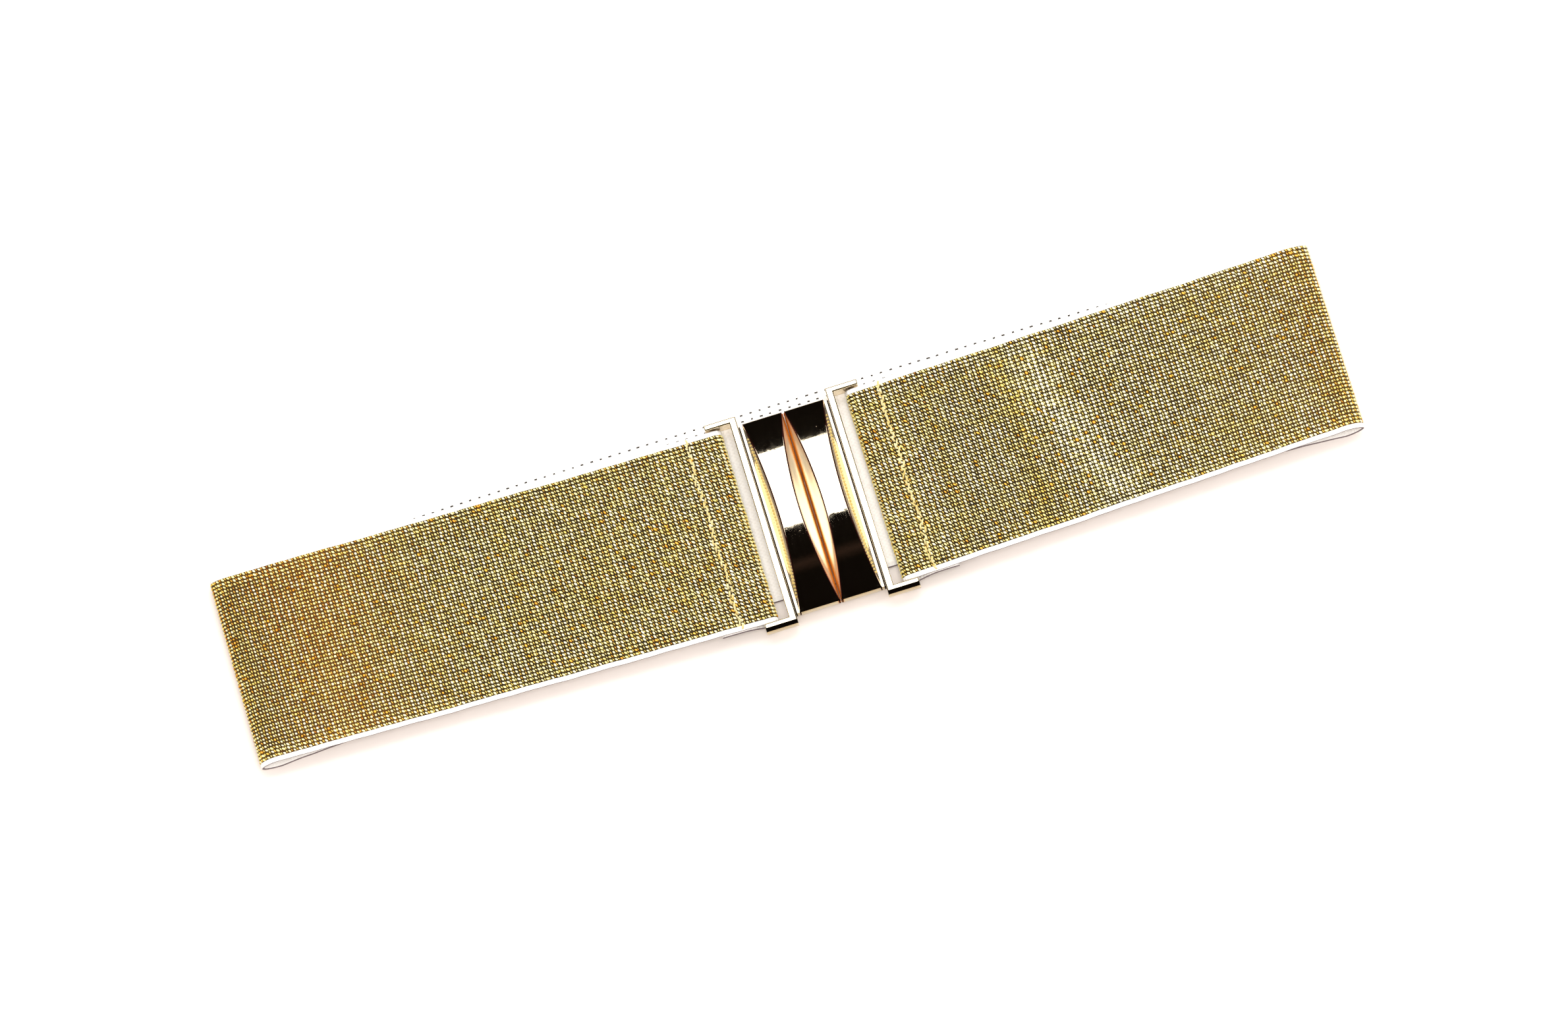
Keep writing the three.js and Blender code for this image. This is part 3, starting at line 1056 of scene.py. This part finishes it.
def scooped_side(base, top, face, notch, bulge, hollow_share):
    """x and z of each row of one side: a straight foot, a narrow notch, then the hollow."""
    floor = underside + web_thickness
    way = 1 if top > base else -1
    notch_x = base + way * notch * bulge
    notch_z = floor + notch_rise
    t = np.arange(side_rows - 1) / (side_rows - 2)
    hollow = hollow_share * np.sin(math.pi * t)
    x = notch_x + (top - notch_x) * (t + hollow)
    z = notch_z + (face - notch_z) * (t - hollow * abs(top - base) / (2 * (face - floor)))
    foot_z = floor - notch_drop * bulge * (notch > 0)
    return np.concatenate(([base, base], x)), np.concatenate(([underside, foot_z], z))


def plate_section(u):
    """Left and right side of the plate at u, from -1 to 1 along it."""
    bulge = 1 - u * u
    face = underside + plate_end_depth + plate_crown * bulge
    left_top = -plate_outer + face_inset + outer_scoop * bulge
    right_top = -plate_inner - face_inset - inner_scoop * bulge
    left_side = scooped_side(-plate_outer, left_top, face, 0.0, bulge, outer_hollow)
    right_side = scooped_side(-seam_half, right_top, face, foot_notch, bulge, inner_hollow)
    return left_side, right_side


# %% Plate
half = plate_height / 2 - base_lip
plate_top = underside + plate_end_depth
plate = block("left_clasp", (-plate_outer, -half, underside), (-plate_inner, half, plate_top))
edit(plate, "EDGE")
long_edges = pick(plate, "EDGE", lambda middle, way: abs(way.y) > 0.9)
bpy.ops.mesh.subdivide(number_cuts=plate_cuts)
bpy.ops.mesh.select_all(action="DESELECT")
upright_edges = pick(plate, "EDGE", lambda middle, way: abs(way.z) > 0.9)
bpy.ops.mesh.subdivide(number_cuts=side_rows - 1)
deselect_all()
for vertex in plate.data.vertices:
    u = vertex.co.y / half
    level = round((vertex.co.z - underside) / plate_end_depth * side_rows)
    x, z = plate_section(u)[0 if vertex.co.x < -plate_width / 2 else 1]
    vertex.co.x = x[level]
    vertex.co.z = z[level]
print("plate: edges cut:", long_edges, upright_edges, "- faces:", len(plate.data.polygons))

# %% [markdown]
# The face's rim is broken by a small rounded edge. It catches a thin line of light all round,
# which is what makes a casting read as solid metal.

# %% Rounded rim of the plate's face
rim_radius = 0.22 * MM
edit(plate, "EDGE")


def on_rim(middle, way):
    """True on the four edges round the plate's face, where both sides' rows end."""
    sides = plate_section(middle.y / half)
    if abs(middle.z - sides[0][1][-1]) > 0.06 * MM:
        return False
    off_sides = min(abs(middle.x - side_x[-1]) for side_x, side_z in sides)
    return (abs(way.x) < 0.5 and off_sides < 0.1 * MM) or abs(abs(middle.y) - half) < 0.01 * MM


rim_edges = pick(plate, "EDGE", on_rim)
bpy.ops.mesh.bevel(offset=rim_radius, segments=3, affect="EDGES", clamp_overlap=True)
# A narrow border keeps the mirror face flat up to its rim
bpy.ops.mesh.select_mode(type="FACE")
pick(plate, "FACE", lambda middle, normal: normal.z > 0.985 and middle.z > plate_top - 0.2 * MM)
bpy.ops.mesh.inset(thickness=0.08 * MM, use_even_offset=True)
deselect_all()
print("rim edges rounded:", rim_edges)

# %% [markdown]
# A fine rope line runs along the hollow on the plate's outer side, about one turn to the
# millimetre. A twisted curve would need many turns. From above only the turns' tops show, so one
# turn is a small slanted bead, squashed from a sphere and copied along the hollow.

# %% Rope line in the outer hollow
bead_pitch = 1.05 * MM
bead_size = (0.72 * MM, 1.30 * MM, 0.55 * MM)
bead_slant = math.radians(34)
bead_count = int(2 * (half - 4 * MM) / bead_pitch)
rope_row = 1 + 0.55 * (side_rows - 2)
bpy.ops.mesh.primitive_uv_sphere_add(segments=10, ring_count=6, radius=0.5)
bpy.ops.transform.resize(value=bead_size)
bpy.ops.transform.rotate(value=bead_slant, orient_axis="Z", center_override=(0, 0, 0))
bead_model = named("bead")
deselect_all()
beads = []
for number in range(bead_count):
    u = (number + 0.5 - bead_count / 2) * bead_pitch / half
    bulge = 1 - u * u
    side_x, side_z = plate_section(u)[0]
    bead_x, bead_z = (np.interp(rope_row, np.arange(side_rows + 1), row) for row in (side_x, side_z))
    shrink = min(1.0, 0.35 + bulge)
    bead = bead_model.data.copy()
    bead.transform(Matrix.Translation((bead_x, u * half, bead_z)) @ Matrix.Scale(shrink, 4))
    beads.append(bead)
rope_mesh = bmesh.new()
for bead in beads:
    rope_mesh.from_mesh(bead)
    bpy.data.meshes.remove(bead)
rope_data = bpy.data.meshes.new("rope_line")
rope_mesh.to_mesh(rope_data)
rope_mesh.free()
rope_line = new_piece("rope_line", rope_data, satin_gold)
bpy.data.objects.remove(bead_model)
print("rope line:", bead_count, "beads,", triangles(rope_line), "triangles")

# %% [markdown]
# The frame is a straight bar that turns outwards at both ends and reaches round the cloth. It
# is drawn from a block: two cuts near the ends make the faces that are pulled out into flanges,
# which keeps bar and flanges one form without joints, as in the casting.

# %% Frame
frame_reach = frame_half - base_lip
frame_high = (-frame_inner, frame_reach, underside + frame_depth)
frame_part = block("frame_part", (-frame_outer, -frame_reach, underside), frame_high)
for level in (-slot_half, slot_half):
    edit(frame_part, "FACE", "SELECT")
    bpy.ops.mesh.bisect(plane_co=(0, level, 0), plane_no=(0, 1, 0))
edit(frame_part, "FACE")
ends = pick(frame_part, "FACE", lambda middle, normal: normal.x < -0.9 and abs(middle.y) > slot_half)
flange_pull = {"value": (frame_outer - flange_end, 0, 0)}
bpy.ops.mesh.extrude_region_move(TRANSFORM_OT_translate=flange_pull)
edit(frame_part, "EDGE", "SELECT")
bpy.ops.mesh.dissolve_limited(angle_limit=math.radians(1))
deselect_all()
make_active(frame_part)
rounding = frame_part.modifiers.new("rounding", "BEVEL")
rounding.width = 0.3 * MM
rounding.segments = 3
rounding.angle_limit = math.radians(40)
bpy.ops.object.modifier_apply(modifier="rounding")
edit(frame_part, "FACE")
pick(frame_part, "FACE", lambda middle, normal: max(abs(v) for v in normal) > 0.9999)
bpy.ops.mesh.inset(thickness=0.06 * MM, use_individual=True, use_even_offset=True)
deselect_all()
print("frame: flange faces pulled out:", ends, "- triangles:", triangles(frame_part))

# %% [markdown]
# A round bar that the cloth hides joins the two flanges, and a web joins frame and plate. The
# exact boolean fuses them, since simple boxes and a bar give it clean cuts, and takes the pocket
# for the hook away. The second half is a mirrored copy.

# %% Hidden bar, web and pocket
deselect_all()
bpy.ops.mesh.primitive_cylinder_add(
    vertices=32,
    radius=bar_radius,
    depth=2 * slot_half + flange_width,
    location=(-bar_reach, 0, bar_level),
    rotation=(math.pi / 2, 0, 0),
)
strap_bar = named("strap_bar")
web = block(
    "web",
    (-frame_inner - frame_bar_width / 2, -half, underside),
    (-plate_outer + 0.25 * MM, half, underside + web_thickness),
)
flange_near = slot_half + 0.2 * MM
lip_spans = [  # from x, y to x, y
    (-frame_inner - 0.1 * MM, -plate_height / 2, -plate_inner, plate_height / 2),
    (-flange_end, -frame_half, -frame_inner, -flange_near),
    (-flange_end, flange_near, -frame_inner, frame_half),
]
lips = [
    block("lip", (x, y, underside), (far_x, far_y, underside + lip_height))
    for x, y, far_x, far_y in lip_spans
]
pocket_x = -hook_span / 2 - clearance
pocket_y = hook_width / 2 + clearance
pocket_high = (pocket_x + hook_lip + 2 * clearance, pocket_y, underside + hook_lip_depth + clearance)
pocket = block("pocket", (pocket_x, -pocket_y, underside - clearance), pocket_high)
print("parts to fuse:", strap_bar.name, web.name, len(lips), "lips; to cut:", pocket.name)

# %% Fuse one half
left_clasp = plate
for other in (web, frame_part, *lips, strap_bar):
    combine(left_clasp, other, "UNION")
combine(left_clasp, pocket, "DIFFERENCE")
left_clasp.data.materials.clear()
left_clasp.data.materials.append(polished_gold)
make_active(left_clasp)
rope_line.select_set(True)
bpy.ops.object.join()
print("left half fused:", triangles(left_clasp), "triangles")

# %% Place both halves
right_clasp = left_clasp.copy()
right_clasp.data = left_clasp.data.copy()
right_clasp.name = "right_clasp"
bpy.context.scene.collection.objects.link(right_clasp)
right_clasp.data.transform(Matrix.Scale(-1, 4, (1, 0, 0)))
for half_piece, cad_name in ((left_clasp, "clasp_half_left"), (right_clasp, "clasp_half_right")):
    half_piece.data.transform(Matrix.Translation((clasp_offset, belt_shift - front_bow, 0)))
    edit(half_piece, "VERT", "SELECT")
    bpy.ops.mesh.remove_doubles(threshold=1e-7)
    face_outwards(half_piece)
    make_active(half_piece)
    bpy.ops.object.shade_smooth_by_angle(angle=math.radians(32))
    part_of_belt(half_piece)
    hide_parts(cad_name)

# %% [markdown]
# The hook under the seam is never seen from above. The CAD model's own piece is good enough for
# it, and only gets a finish.

# %% Hook under the seam
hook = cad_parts["clasp_hook"]
hook.data.materials.clear()
hook.data.materials.append(brushed_steel)
print("hook:", triangles(hook), "triangles")

# %% [markdown]
# ## Stitches
# Two strands of lockstitches cross each front layer and hold the folded-back hem. One stitch is
# a short cylinder cut along its length and bent down at both ends, where the thread goes into
# the cloth. It is copied across the belt with a small wander, as a hand-fed machine leaves it.

# %% Thread material
stitch_thread, tree, shader = new_material("stitch_thread", Metallic=0.35, Sheen_Weight=0.2)
plies = use_group(tree, twist, Place=map_place(tree, "Thread"), Plies=5.0, Slant=0.6)[0]
thread_drift = use_group(tree, drift, Scale=300.0, Contrast=1.2)[0]
set_inputs(
    shader,
    Base_Color=ramp(thread_drift, (0.3, (0.90, 0.68, 0.20)), (0.7, (1.0, 0.94, 0.58))),
    Roughness=plies * 0.15 + 0.4,
    Normal=bumped(plies, 0.5, 0.08 * MM),
)

# %% One stitch
stitch_length = 2.3 * MM
stitch_share = 0.8
strand_gap = 0.52 * MM
thread_width = 0.58 * MM
slow_wander = 0.28 * MM
stitch_error = 0.20 * MM
stitch_askew = 0.24
thread_lift = 0.08 * MM
deselect_all()
bpy.ops.mesh.primitive_cylinder_add(vertices=8, radius=0.5, depth=1, rotation=(math.pi / 2, 0, 0))
stitch_model = named("stitch_model")
edit(stitch_model, "EDGE")
pick(stitch_model, "EDGE", lambda middle, way: abs(way.y) > 0.9)
bpy.ops.mesh.subdivide(number_cuts=7)
deselect_all()
stitch_points = np.array([v.co for v in stitch_model.data.vertices])
stitch_faces = [list(p.vertices) for p in stitch_model.data.polygons]
bpy.data.objects.remove(stitch_model)
# The ends dive into the cloth
stitch_bend = 0.9 * np.abs(stitch_points[:, 1] * 2) ** 4
# Coordinates for the twist: along the thread, and round it
around = np.arctan2(stitch_points[:, 2], stitch_points[:, 0]) / 6.3
stitch_map = np.stack((stitch_points[:, 1] + 0.5, around), 1)
print("stitch:", len(stitch_faces), "faces")


# %% Stitch rows
def stitch_row(name, s_row, s_under):
    """Two strands of stitches across the belt's front layer, and one on the hem below."""
    count = int(band_width_at_bars / stitch_length)
    points, faces = [], []
    strands = ((s_row - strand_gap / 2, 0.0), (s_row + strand_gap / 2, 0.5), (s_under, 0.5))
    for s_layer, shift in strands:
        for i in range(count):
            wander = slow_wander * math.sin(0.7 * i) + stitch_error * draw.normal()
            middle_v = (i + 0.5 + shift) / count - 0.5
            if abs(middle_v) > 0.49:
                continue
            askew = stitch_askew * draw.normal()
            thick = thread_width * (1 + 0.12 * draw.normal())
            long = stitch_points[:, 1] * stitch_length * stitch_share
            side = stitch_points[:, 0] * thick
            lift = (stitch_points[:, 2] * 0.7 - stitch_bend) * thick + thread_lift
            s = s_layer + wander + side + long * askew
            v = middle_v + long / band_width_at_bars
            first = len(points) * len(stitch_points)
            points.append(strip_point(s, v, half_thick + lift))
            faces += [[first + n for n in face] for face in stitch_faces]
    mesh = bpy.data.meshes.new(name)
    mesh.from_pydata(np.concatenate(points).tolist(), [], faces)
    piece = new_piece(name, mesh, stitch_thread)
    store_map(mesh, "Thread", np.tile(stitch_map, (len(points), 1)))
    face_outwards(piece)
    return part_of_belt(piece)


# How far each row lies from the cloth's turn round the bar; they differ, as in the photograph
left_row_inset = 11.2 * MM
right_row_inset = 10.1 * MM
left_row_s = front_l + left_row_inset - (wrap_radius + half_thick)
right_row_s = wrap_r - right_row_inset + (wrap_radius + half_thick)
left_under = wrap_l - (left_row_s - front_l)
right_under = hem_r + (wrap_r - right_row_s)
left_stitches = stitch_row("left_stitch_row", left_row_s, left_under)
right_stitches = stitch_row("right_stitch_row", right_row_s, right_under)

# %% [markdown]

# %% [markdown]
# ## Table and light
# The photograph has a bright white table, one long soft window above the far side, and dark
# surroundings that the mirror faces show. The window is a strip, so the plates show a white band
# between two dark ones. A soft box and a fill from the front only brighten cloth and table: the
# metal doesn't mirror them, nor the table, because the photographed metal mirrors a dark room.
# One big light would be simpler, but cloth and metal need different ones.

# %% Table
deselect_all()
bpy.ops.mesh.primitive_plane_add(size=6, location=(0, 0, -0.02 * MM))
table = bpy.context.object
table.name = "table"
table_paint, tree, shader = new_material("table_paint", Roughness=0.6)
table_drift = use_group(tree, drift, Scale=3.0, Contrast=0.3)[0]
table_colour = ramp(table_drift, (0.2, (0.84, 0.79, 0.76)), (0.8, (0.86, 0.81, 0.78)))
set_inputs(shader, Base_Color=table_colour)
table.data.materials.append(table_paint)
table.visible_glossy = False


# %% Lights
def area_light(name, off_zenith, azimuth, distance, width, depth, radiance, colour):
    """A rectangular light that looks at the belt; off_zenith towards azimuth (90 is +Y)."""
    lamp = bpy.data.lights.new(name, "AREA")
    lamp.shape = "RECTANGLE"
    lamp.size = width
    lamp.size_y = depth
    lamp.energy = radiance * math.pi * width * depth
    lamp.color = colour
    holder = bpy.data.objects.new(name, lamp)
    bpy.context.scene.collection.objects.link(holder)
    a, e = math.radians(azimuth), math.radians(off_zenith)
    away = Vector((math.cos(a) * math.sin(e), math.sin(a) * math.sin(e), math.cos(e)))
    x_axis = Vector((math.sin(a), -math.cos(a), 0))
    facing = Matrix((x_axis, away.cross(x_axis), away)).transposed().to_4x4()
    holder.matrix_world = Matrix.Translation(away * distance) @ facing
    return holder


window = area_light("window", 18.8, 90, 2.5, 2.0, 0.425, 3.2, (1.0, 0.99, 0.97))
soft_box = area_light("soft_box", 28, 50, 2.4, 1.8, 1.4, 2.9, (1.0, 0.99, 0.975))
front_fill = area_light("front_fill", 17, -90, 2.6, 1.0, 1.0, 8.2, (1.0, 0.98, 0.95))
for unmirrored in (soft_box, front_fill):
    unmirrored.visible_glossy = False
print("lights:", window.name, soft_box.name, front_fill.name)

# %% [markdown]
# The surroundings answer three kinds of rays in three ways. Cloth and table get soft light from
# overhead, and less from the horizon in front. Mirrors see a dark room, one faint brown beam of
# its ceiling, and a pale wall low down behind. The camera itself would see plain white.

# %% Surroundings
world = bpy.data.worlds.new("surroundings")
bpy.context.scene.world = world
world.use_nodes = True
tree = world.node_tree
sky_x, sky_y, sky_z = split_xyz(Value(node(tree, "TexCoord").outputs["Generated"]))
overhead = (sky_z * 0.6 + (sky_y * 0.30 + sky_x * 0.25) + 0.35).clamped()
soft_light = ramp(overhead, (0.0, (0.50, 0.36, 0.27)), (0.85, (1.22, 1.16, 1.12)))
low_down = fading(sky_z, 0.22, 0.62)
behind = (sky_y * 1.3 + 0.25).clamped()
dark = (0.0035, 0.0025, 0.002)
ceiling = ramp(sky_y, (0.15, dark), (0.168, (0.024, 0.014, 0.011)), (0.182, dark))
dark_room = mixed(low_down * behind, ceiling, (0.85, 0.80, 0.74, 1))
ray = node(tree, "LightPath").outputs
lit = mixed(Value(ray["Is Glossy Ray"]), soft_light, dark_room)
seen = mixed(Value(ray["Is Camera Ray"]), lit, (0.95, 0.95, 0.95, 1))
set_inputs(tree.nodes["Background"], Color=seen)
bpy.context.scene.view_settings.view_transform = "Standard"
print("surroundings:", len(tree.nodes), "nodes")
